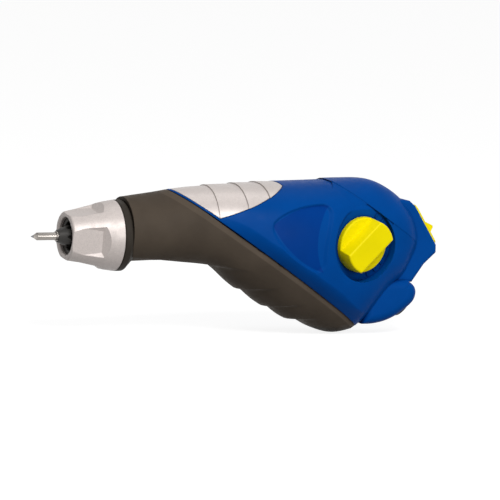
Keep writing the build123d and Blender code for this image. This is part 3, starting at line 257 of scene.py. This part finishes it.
finishes = {
    "blue_body": finish_of("blue_plastic", BLUE, 0.4, specular=0.03, vary=0.05,
                           depth=6e-6, edge=0.8 * MM),
    "grip_rubber": finish_of("grip_rubber", RUBBER, 0.55, specular=0.05, grain=4000.0, edge=0.2 * MM),
    "silver_trim": finish_of("silver_lacquer", SILVER, 0.36, metal=0.2, vary=0.03,
                             depth=5e-6, flakes=0.12),
    "silver_metal": finish_of("satin_metal", SILVER, 0.42, metal=0.2, specular=0.3, vary=0.03,
                              depth=8e-6, flakes=0.16),
    "black_plastic": finish_of("black_plastic", BLACK, 0.5, specular=0.3, depth=1e-5),
    "dark_steel": finish_of("dark_steel", (0.03, 0.028, 0.026), 0.42, metal=0.5, vary=0.2, depth=1e-5),
    "tool_steel": finish_of("tool_steel", STEEL, 0.2, metal=0.9, vary=0.6, blotch=500.0,
                            stretch=ALONG, depth=2e-6),
    "carbide": finish_of("carbide", (0.22, 0.22, 0.23), 0.3, metal=0.9, stretch=ALONG, depth=4e-6),
    "yellow_plastic": finish_of("yellow_plastic", YELLOW, 0.4, specular=0.08, vary=0.03, depth=5e-6),
    "soft_iron": finish_of("soft_iron", (0.25, 0.25, 0.26), 0.5, metal=0.9, vary=0.2),
    "bronze": finish_of("bronze", (0.5, 0.33, 0.13), 0.45, metal=0.9, vary=0.2),
    "seal_rubber": finish_of("seal_rubber", (0.02, 0.02, 0.02), 0.6, vary=0.2),
    "nylon": finish_of("nylon", (0.7, 0.68, 0.6), 0.5, vary=0.05),
    "copper": finish_of("copper_wire", (0.48, 0.2, 0.08), 0.35, metal=0.9,
                        stretch=ROUND_COIL, depth=8e-5),
    "spring_steel": finish_of("spring_steel", (0.4, 0.4, 0.42), 0.3, metal=0.95),
    "switch_case": finish_of("switch_case", (0.03, 0.03, 0.03), 0.5, vary=0.15),
    "lead_cover": finish_of("lead_cover", (0.3, 0.02, 0.02), 0.45),
    "zinc_steel": finish_of("zinc_steel", (0.5, 0.5, 0.48), 0.35, metal=0.9, vary=0.12),
}

for row in frame["record"]["subparts"]:
    piece = nodes[row["node"]]
    piece.data.materials.clear()
    piece.data.materials.append(finishes[row["material_slot"]])
collar = finish_of("collar_plastic", COLLAR_BLACK, 0.6, specular=0.15, depth=1e-5)
nodes["barrel_collar"].data.materials[0] = collar

# Parting line of the two halves of the body, along the middle
LINE_HALF = 0.08 * MM
LINE_FADE = 0.18 * MM
LINE_DARK = (0.0, 0.008, 0.05)
blue = finishes["blue_body"]
sides = node_of(blue, "ShaderNodeSeparateXYZ")
link(blue, position(blue), sides.inputs["Vector"])
from_middle = node_of(blue, "ShaderNodeMath", operation="ABSOLUTE")
link(blue, sides.outputs["Y"], from_middle.inputs[0])
on_line = ranged(blue, from_middle.outputs["Value"], LINE_HALF, LINE_FADE, 1, 0)
recolour(blue, "MIX", on_line, LINE_DARK)

# Sunk pad on the left side, a darker blue between its three rounded sides
PAD_SIDES = [
    ((118.5, 13.6), (104.2, 11.8), (92.0, 5.5)),
    ((92.0, 5.5), (101.3, -6.8), (114.8, -14.7)),
    ((114.8, -14.7), (112.2, -0.6), (118.5, 13.6)),
]
PAD_MIDDLE = (107.0, 1.0)
PAD_FACE = (-6 * MM, -5 * MM)
PAD_TINT = (1.0, 0.68, 0.84)
PAD_EDGE = 0.3 * MM


def circle_through(first, second, third):
    """Middle and radius of the circle through three points."""
    (ax, az), (bx, bz), (cx, cz) = first, second, third
    turn = 2 * (ax * (bz - cz) + bx * (cz - az) + cx * (az - bz))
    a, b, c = ax * ax + az * az, bx * bx + bz * bz, cx * cx + cz * cz
    x = (a * (bz - cz) + b * (cz - az) + c * (az - bz)) / turn
    z = (a * (cx - bx) + b * (ax - cx) + c * (bx - ax)) / turn
    return (x, z), math.hypot(ax - x, az - z)


def pad_share():
    """1 on the pad and 0 off it, on the left side only."""
    inside = ranged(blue, sides.outputs["Y"], *PAD_FACE, 1, 0)
    for side in PAD_SIDES:
        (x, z), radius = circle_through(*side)
        away = node_of(blue, "ShaderNodeVectorMath", operation="DISTANCE")
        link(blue, position(blue, (1, 0, 1)), away.inputs[0])
        away.inputs[1].default_value = (x * MM, 0, z * MM)
        bulges = math.hypot(x - PAD_MIDDLE[0], z - PAD_MIDDLE[1]) < radius
        fade = PAD_EDGE if bulges else -PAD_EDGE
        kept = node_of(blue, "ShaderNodeMath", operation="MINIMUM")
        link(blue, inside, kept.inputs[0])
        within = ranged(blue, away.outputs["Value"], radius * MM, radius * MM + fade, 1, 0)
        link(blue, within, kept.inputs[1])
        inside = kept.outputs["Value"]
    return inside


recolour(blue, "MULTIPLY", pad_share(), PAD_TINT)


# Rubber sleeve: the solid's surface with a scoop under each ledge and a bevel at the seam
SEAM_POINT = Vector((53.6, 0, 18.0)) * MM
SEAM_ALONG = Vector((0.8246, 0, -0.5659))
SEAM_OUT = Vector((0.5659, 0, 0.8246))
SEAM_GAP = 0.35 * MM
BEVEL_WIDTH = 2.9 * MM
BEVEL_NARROWING = 0.0136
BEVEL_DEPTH = 0.8 * MM
BEVEL_FADE = (12.0 * MM, 3.0 * MM)
# Painted highlight on the seam bevel: its colour factor and the span of its soft edge
BEVEL_PAINTED_LIGHT = (1.3, 1.3, 1.3)
BEVEL_LIGHT_EDGE = (-0.1 * MM, 0.2 * MM)
CREASES = [
    ((68.0, -12.6), (86.0, -14.6), 1.4),
    ((84.2, -23.8), (98.5, -22.2), 1.7),
    ((96.6, -31.4), (111.0, -29.4), 1.7),
    ((109.0, -37.0), (121.0, -36.0), 0.9),
]
SCOOP_STEPS = (0.0, 0.3, 0.7, 1.2, 1.8)
SCOOP_DEEPEST = 1.8 * MM
SCOOP_HEIGHT = 8.0 * MM
SLICE = 2.0 * MM
SLICED_X = (66.0 * MM, 140.0 * MM)
SLICED_Z = (-42.0 * MM, 10.0 * MM)
SECTION_MIDDLE = 12.0 * MM
SECTION_FALL = 0.14
FACING = 0.3
SAME_PLACE = 1e-6
ON_PLANE = 1e-7
SLEEVE_SHARP = 28
# Painted shade in gaps and creases for each finish: reach in metres and darkest colour
PAINTED_CREASE_SHADES = {
    "blue_body": (3 * MM, (0.3, 0.3, 0.45)),
    "silver_trim": (1.5 * MM, (0.4, 0.37, 0.35)),
    "grip_rubber": (4 * MM, (0.25, 0.25, 0.25)),
}


def outward_of(place):
    """Direction away from the middle of the sleeve's section."""
    middle_height = SECTION_MIDDLE - SECTION_FALL * place.x
    return Vector((0, place.y, place.z - middle_height)).normalized()


def share(value, start, end):
    """How far a value is from start to end, kept between 0 and 1."""
    return min(1.0, max(0.0, (value - start) / (end - start)))


def scoop_at(place):
    """Depth of the finger scoops at a point of the outer surface."""
    depth = 0.0
    for (x, z), (end_x, end_z), deepest in CREASES:
        along = share(place.x, x * MM, end_x * MM)
        line = (z + (end_z - z) * (place.x / MM - x) / (end_x - x)) * MM
        below = line - place.z
        if 0 < below < SCOOP_HEIGHT:
            inward = math.sin(math.pi / 2 * share(below, 0, SCOOP_DEEPEST))
            back_out = math.cos(math.pi / 2 * share(below, SCOOP_DEEPEST, SCOOP_HEIGHT)) ** 2
            depth = max(depth, deepest * MM * (1 - along) * inward * back_out)
    return depth


def bevel_at(place):
    """Depth of the bevel along the seam."""
    offset = place - SEAM_POINT
    width = BEVEL_WIDTH - BEVEL_NARROWING * offset.dot(SEAM_ALONG)
    below = -offset.dot(SEAM_OUT) - SEAM_GAP
    return BEVEL_DEPTH * (1 - share(below, 0, width)) * share(place.z, *BEVEL_FADE)


def slice_outside(made, point, normal):
    """Cuts new edges into the outer surface along a plane."""
    outer = [
        face for face in made.faces
        if face.normal.dot(outward_of(face.calc_center_median())) > FACING
    ]
    edges = {edge for face in outer for edge in face.edges}
    corners = {corner for face in outer for corner in face.verts}
    bmesh.ops.bisect_plane(made, geom=[*corners, *edges, *outer], dist=ON_PLANE,
                           plane_co=point, plane_no=normal)


# The bevel's band is painted a little lighter: a painted highlight where it faces the light
rubber = finishes["grip_rubber"]
from_seam = node_of(rubber, "ShaderNodeVectorMath", operation="DOT_PRODUCT")
link(rubber, position(rubber), from_seam.inputs[0])
bevel_across = SEAM_OUT - SEAM_ALONG * BEVEL_NARROWING
from_seam.inputs[1].default_value = bevel_across
crest = SEAM_POINT.dot(bevel_across) - SEAM_GAP - BEVEL_WIDTH
bevel_light_span = [crest + step for step in BEVEL_LIGHT_EDGE]
bevel_painted_light = ranged(rubber, from_seam.outputs["Value"], *bevel_light_span, 0, 1)
recolour(rubber, "MULTIPLY", bevel_painted_light, BEVEL_PAINTED_LIGHT)
# Painted shade darkens each of these finishes in its gaps and creases
for slot, (reach, dark) in PAINTED_CREASE_SHADES.items():
    paint_crease_shade(finishes[slot], reach, dark)


def copy_of(node):
    """Editable copy of a solid's surface, with its corners joined."""
    made = bmesh.new()
    made.from_mesh(nodes[node].data)
    bmesh.ops.remove_doubles(made, verts=made.verts, dist=SAME_PLACE)
    made.normal_update()
    return made


def outer_corners(made):
    """Corners of the outward faces, each with its outward direction."""
    found = []
    for corner in made.verts:
        outward = outward_of(corner.co)
        if any(face.normal.dot(outward) > FACING for face in corner.link_faces):
            found.append((corner, outward))
    return found


def piece_of(made, name, slot, sharp):
    """Piece from a finished mesh, smooth but for its sharper edges."""
    mesh = bpy.data.meshes.new(name)
    made.to_mesh(mesh)
    made.free()
    mesh.shade_smooth()
    mesh.set_sharp_from_angle(angle=math.radians(sharp))
    mesh.materials.clear()
    mesh.materials.append(finishes[slot])
    piece = add_object(name, mesh)
    return piece


sleeve = copy_of("soft_grip")
for step in range(round((SLICED_X[1] - SLICED_X[0]) / SLICE)):
    slice_outside(sleeve, (SLICED_X[0] + step * SLICE, 0, 0), (1, 0, 0))
for step in range(round((SLICED_Z[1] - SLICED_Z[0]) / SLICE)):
    slice_outside(sleeve, (0, 0, SLICED_Z[0] + step * SLICE), (0, 0, 1))
for (x, z), (end_x, end_z), deepest in CREASES:
    across = Vector((z - end_z, 0, end_x - x)).normalized()
    for drop in SCOOP_STEPS:
        slice_outside(sleeve, (Vector((x, 0, z)) - across * drop) * MM, across)
slice_outside(sleeve, SEAM_POINT - SEAM_OUT * (SEAM_GAP + BEVEL_WIDTH), bevel_across)
sleeve.normal_update()
for corner, outward in outer_corners(sleeve):
    corner.co -= outward * (scoop_at(corner.co) + bevel_at(corner.co))
sleeve_piece = piece_of(sleeve, "finger_sleeve", "grip_rubber", SLEEVE_SHARP)
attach(sleeve_piece, "housing")
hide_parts("soft_grip")

# Ramp that eases the raised panel's front edge down into the body, wider behind the dial
RAISED_FROM_SEAM = 44.2
RAMP_SPAN = (20.0, 104.0)
RAMP_STEP = 0.6
RAMP_COLUMNS = 6
RAMP_WIDE = ((127.0, 3.0), (143.0, 8.0))
RAMP_NARROWER = (1.0, 0.8, 0.6, 0.4, 0.2)
RAMP_RISE = (0.2, 6.0)
EDGE_STEP = 0.06
DISH_MIDDLE = (135.0, -3.5)
DISH_CLEAR = 16.2
SUNK = 0.02
RAMP_THICKNESS = 0.3 * MM
RAMP_SHARP = 40
CAST_FROM = 60.0
ORDER_ALONG = Vector((1.0, 0.618, 0.377))


def surface_at(tree, along, out, side):
    """Place on one side of the body and its distance from the middle, or nothing."""
    place = SEAM_POINT / MM + SEAM_ALONG * along + SEAM_OUT * out
    outside = Vector((place.x, side * CAST_FROM, place.z)) * MM
    hit = tree.ray_cast(outside, Vector((0, -side, 0)))[0]
    from_dish = math.hypot(place.x - DISH_MIDDLE[0], place.z - DISH_MIDDLE[1])
    if hit is None or from_dish < DISH_CLEAR:
        return None
    return place, abs(hit.y) / MM


def ramp_row(tree, along, side):
    """Points down the ramp at one place along the panel's edge."""
    crest = surface_at(tree, along, RAISED_FROM_SEAM + EDGE_STEP, side)
    foot = surface_at(tree, along, RAISED_FROM_SEAM - EDGE_STEP, side)
    if not crest or not foot or not RAMP_RISE[0] < crest[1] - foot[1] < RAMP_RISE[1]:
        return None
    (near_x, near), (far_x, far) = RAMP_WIDE
    widest = near + (far - near) * share(crest[0].x, near_x, far_x)
    steps = [column / RAMP_COLUMNS for column in range(1, RAMP_COLUMNS + 1)]
    for narrower in RAMP_NARROWER:
        outs = [RAISED_FROM_SEAM - EDGE_STEP - widest * narrower * down for down in steps]
        found = [surface_at(tree, along, out, side) for out in outs]
        if all(found):
            row = [(crest[0].x, side * crest[1], crest[0].z)]
            for down, (place, away) in zip(steps, found):
                away += (crest[1] - foot[1]) * (1 - down) ** 2 - SUNK * down
                row.append((place.x, side * away, place.z))
            return row
    return None


def body_tree(node):
    mesh = nodes[node].data
    corners = [corner.co for corner in mesh.vertices]
    return BVHTree.FromPolygons(corners, [face.vertices for face in mesh.polygons])


ramp = bmesh.new()
for half_name, side in (("left_housing", -1), ("right_housing", 1)):
    tree = body_tree(half_name)
    before = None
    for step in range(round((RAMP_SPAN[1] - RAMP_SPAN[0]) / RAMP_STEP)):
        row = ramp_row(tree, RAMP_SPAN[0] + step * RAMP_STEP, side)
        row = row and [ramp.verts.new(Vector(point) * MM) for point in row]
        for column in range(RAMP_COLUMNS if row and before else 0):
            ramp.faces.new((before[column], before[column + 1], row[column + 1], row[column]))
        before = row
bmesh.ops.recalc_face_normals(ramp, faces=ramp.faces)
for face in ramp.faces:
    if face.normal.y * face.calc_center_median().y < 0:
        face.normal_flip()
bmesh.ops.solidify(ramp, geom=ramp.faces, thickness=RAMP_THICKNESS)
# Thickening leaves no fixed order, so the corners and faces are put in one
ramp.verts.sort(key=lambda corner: corner.co.dot(ORDER_ALONG))
ramp.faces.sort(key=lambda face: face.calc_center_median().dot(ORDER_ALONG))
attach(piece_of(ramp, "panel_ramp", "blue_body", RAMP_SHARP), "housing")


# Return spring in two halves cut at its middle, between the body and the pieces that press on its ends
COIL_SHARP = 50
spring_front, spring_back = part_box("return_spring")
spring_middle = (spring_front + spring_back) / 2
for name, bodies, start, end in (
    ("return_spring_front", ("striker", "housing"), spring_front, spring_middle),
    ("return_spring_rear", ("housing", "preload"), spring_middle, spring_back),
):
    coil = copy_of("return_spring")
    is_front = start is spring_front
    every = [*coil.verts, *coil.edges, *coil.faces]
    bmesh.ops.bisect_plane(coil, geom=every, plane_co=spring_middle, plane_no=(1, 0, 0),
                           clear_outer=is_front, clear_inner=not is_front)
    bmesh.ops.holes_fill(coil, edges=[edge for edge in coil.edges if edge.is_boundary])
    coil_piece = piece_of(coil, name, "spring_steel", COIL_SHARP)
    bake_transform(coil_piece)
    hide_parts("return_spring")


# Screws that hold the halves together: rounded heads with a cross recess, and a coarse thread
SCREW_PLACES = [(107.0, 16.5, 11.0), (148.0, 12.0, 9.5), (132.0, -26.5, 12.5), (147.5, -32.0, 6.5)]
SCREW_TURNS = [20.0, 66.0, -8.0, 41.0]
HEAD_PROFILE = [
    (0, 0), (2.7, 0), (2.7, 0.7), (2.6, 1.05), (2.3, 1.4), (1.8, 1.65), (1.0, 1.77), (0, 1.8),
]
HEAD_SIDES = 40
RECESS_ARM = (1.55, 0.34)
RECESS_ROOT = (0.6, 0.2)
RECESS_DEPTH = 1.25
RECESS_OVER = 0.1
HEAD_HEIGHT = 1.8
SHANK_TAIL = -7.7
SHANK_TOP = 0.3
SHANK_SIDES = 20
SHANK_STEP = 0.125
THREAD_CORE = 0.95
THREAD_CREST = 1.3
THREAD_PITCH = 1.0
THREAD_HALF = 0.28
POINT_LENGTH = 2.0
POINT_BLUNT = 0.15
SCREW_SHARP = 35


def head_mesh():
    """Rounded head, standing on its own underside."""
    made = bmesh.new()
    rings = []
    for radius, height in HEAD_PROFILE:
        count = HEAD_SIDES if radius else 1
        rings.append([
            made.verts.new((radius * math.cos(2 * math.pi * side / count),
                            radius * math.sin(2 * math.pi * side / count), height))
            for side in range(count)
        ])
    for low, high in zip(rings, rings[1:]):
        for side in range(HEAD_SIDES):
            after = (side + 1) % HEAD_SIDES
            corners = [
                low[side % len(low)], low[after % len(low)],
                high[after % len(high)], high[side % len(high)],
            ]
            made.faces.new(list(dict.fromkeys(corners)))
    bmesh.ops.recalc_face_normals(made, faces=made.faces)
    return made


def recess_mesh():
    """Tapered cross that the driver fits."""
    made = bmesh.new()
    ends = ((RECESS_ROOT, HEAD_HEIGHT - RECESS_DEPTH), (RECESS_ARM, HEAD_HEIGHT + RECESS_OVER))
    for quarter in (0, 1):
        corners = []
        for (arm, half), height in ends:
            for x, y in ((-arm, -half), (arm, -half), (arm, half), (-arm, half)):
                corners.append(made.verts.new((-y, x, height) if quarter else (x, y, height)))
        for face in ((0, 1, 2, 3), (4, 5, 6, 7), (0, 1, 5, 4), (1, 2, 6, 5), (2, 3, 7, 6), (3, 0, 4, 7)):
            made.faces.new([corners[index] for index in face])
    bmesh.ops.recalc_face_normals(made, faces=made.faces)
    return made


def temporary(name, made):
    mesh = bpy.data.meshes.new(name)
    made.to_mesh(mesh)
    made.free()
    return add_object(name, mesh)


def cut_head():
    """Head with the cross cut out of it."""
    head = temporary("head_blank", head_mesh())
    recess = temporary("recess_blank", recess_mesh())
    cut = head.modifiers.new("cross", "BOOLEAN")
    cut.object = recess
    cut.solver = "EXACT"
    cut.use_self = True
    bpy.context.view_layer.update()
    shown = head.evaluated_get(bpy.context.evaluated_depsgraph_get())
    mesh = bpy.data.meshes.new_from_object(shown)
    for blank in (head, recess):
        bpy.data.objects.remove(blank)
    return mesh


def add_shank(made, foot, top):
    """Threaded shank from its point up into the head."""
    steps = round((top - foot) / SHANK_STEP)
    rings = []
    for step in range(steps + 1):
        height = foot + (top - foot) * step / steps
        taper = min(1.0, POINT_BLUNT + (height - foot) / POINT_LENGTH)
        ring = []
        for side in range(SHANK_SIDES):
            turned = side / SHANK_SIDES
            phase = (height / THREAD_PITCH - turned) % 1.0
            crest = max(0.0, 1 - abs(phase - 0.5) / THREAD_HALF)
            radius = taper * (THREAD_CORE + (THREAD_CREST - THREAD_CORE) * crest)
            angle = 2 * math.pi * turned
            ring.append(made.verts.new((radius * math.cos(angle), radius * math.sin(angle), height)))
        rings.append(ring)
    for low, high in zip(rings, rings[1:]):
        for side in range(SHANK_SIDES):
            after = (side + 1) % SHANK_SIDES
            made.faces.new((low[side], low[after], high[after], high[side]))
    made.faces.new(list(reversed(rings[0])))
    made.faces.new(rings[-1])


head = cut_head()
screws = bmesh.new()
for (x, z, head_y), angle in zip(SCREW_PLACES, SCREW_TURNS):
    one = bmesh.new()
    one.from_mesh(head)
    add_shank(one, SHANK_TAIL - head_y, SHANK_TOP)
    spin = Matrix.Rotation(math.radians(angle), 4, "Z")
    outward = Matrix(((1, 0, 0, x), (0, 0, 1, head_y), (0, -1, 0, z), (0, 0, 0, 1)))
    bmesh.ops.transform(one, matrix=Matrix.Scale(MM, 4) @ outward @ spin, verts=one.verts)
    part = bpy.data.meshes.new("screw")
    one.to_mesh(part)
    one.free()
    screws.from_mesh(part)
    bpy.data.meshes.remove(part)
screw_set = piece_of(screws, "cross_head_screws", "zinc_steel", SCREW_SHARP)
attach(screw_set, "housing")
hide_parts("housing_screws")


# Stage: a pale floor just under the heel, plain soft light
FLOOR_GAP = 0.4 * MM
FLOOR_SIZE = 8.0
FLOOR_GREY = 0.33
FLOOR_ROUGH = 0.9
FLOOR_GLOW = 0.86

floor_mesh = bpy.data.meshes.new("floor")
half = FLOOR_SIZE / 2
floor_z = cad_box[0][2] - FLOOR_GAP
floor_mesh.from_pydata(
    [
        (-half, -half, floor_z),
        (half, -half, floor_z),
        (half, half, floor_z),
        (-half, half, floor_z),
    ],
    [],
    [(0, 1, 2, 3)],
)
floor = add_object("floor", floor_mesh)
pale = new_material("pale_floor", (FLOOR_GREY,) * 3, FLOOR_ROUGH, specular=0.0)
rays = node_of(pale, "ShaderNodeLightPath")
seen = node_of(pale, "ShaderNodeMath", operation="MAXIMUM")
glow = node_of(pale, "ShaderNodeMath", operation="MULTIPLY")
glow.inputs[1].default_value = FLOOR_GLOW
link(pale, rays.outputs["Is Camera Ray"], seen.inputs[0])
link(pale, rays.outputs["Is Glossy Ray"], seen.inputs[1])
link(pale, seen.outputs["Value"], glow.inputs[0])
shader_of(pale).inputs["Emission Color"].default_value = (1, 1, 1, 1)
link(pale, glow.outputs["Value"], shader_of(pale).inputs["Emission Strength"])
floor_mesh.materials.append(pale)

WORLD_LIGHT = 0.28
world = bpy.data.worlds.new("studio")
scene.world = world
world.use_nodes = True
sky = world.node_tree.nodes["Background"]
sky.inputs["Color"].default_value = (1, 1, 1, 1)
paths = node_of(world, "ShaderNodeLightPath")
shown = node_of(world, "ShaderNodeMath", operation="MAXIMUM")
both = node_of(world, "ShaderNodeMath", operation="MAXIMUM")
link(world, paths.outputs["Is Camera Ray"], shown.inputs[0])
link(world, paths.outputs["Is Glossy Ray"], shown.inputs[1])
link(world, shown.outputs["Value"], both.inputs[0])
link(world, paths.outputs["Is Transmission Ray"], both.inputs[1])
link(world, ranged(world, both.outputs["Value"], 0, 1, WORLD_LIGHT, 1), sky.inputs["Strength"])

# Lamps: name, place from the object's middle in metres, width in metres and power in watts
LAMPS = [
    ("key", (-0.1, -0.95, 0.75), 0.35, 7.4),
    ("fill", (0.15, -1.1, 0.2), 0.45, 3.4),
    ("top", (0.3, 0.1, 1.1), 0.6, 1.2),
]
middle = (Vector(cad_box[0]) + Vector(cad_box[1])) / 2


def lamp(name, offset, size, power):
    """Square soft lamp aimed at the middle of the object."""
    light = add_object(name, bpy.data.lights.new(name, "AREA"))
    light.data.size = size
    light.data.energy = power
    light.location = middle + Vector(offset)
    light.rotation_euler = (-Vector(offset)).to_track_quat("-Z", "Y").to_euler()


for row in LAMPS:
    lamp(*row)
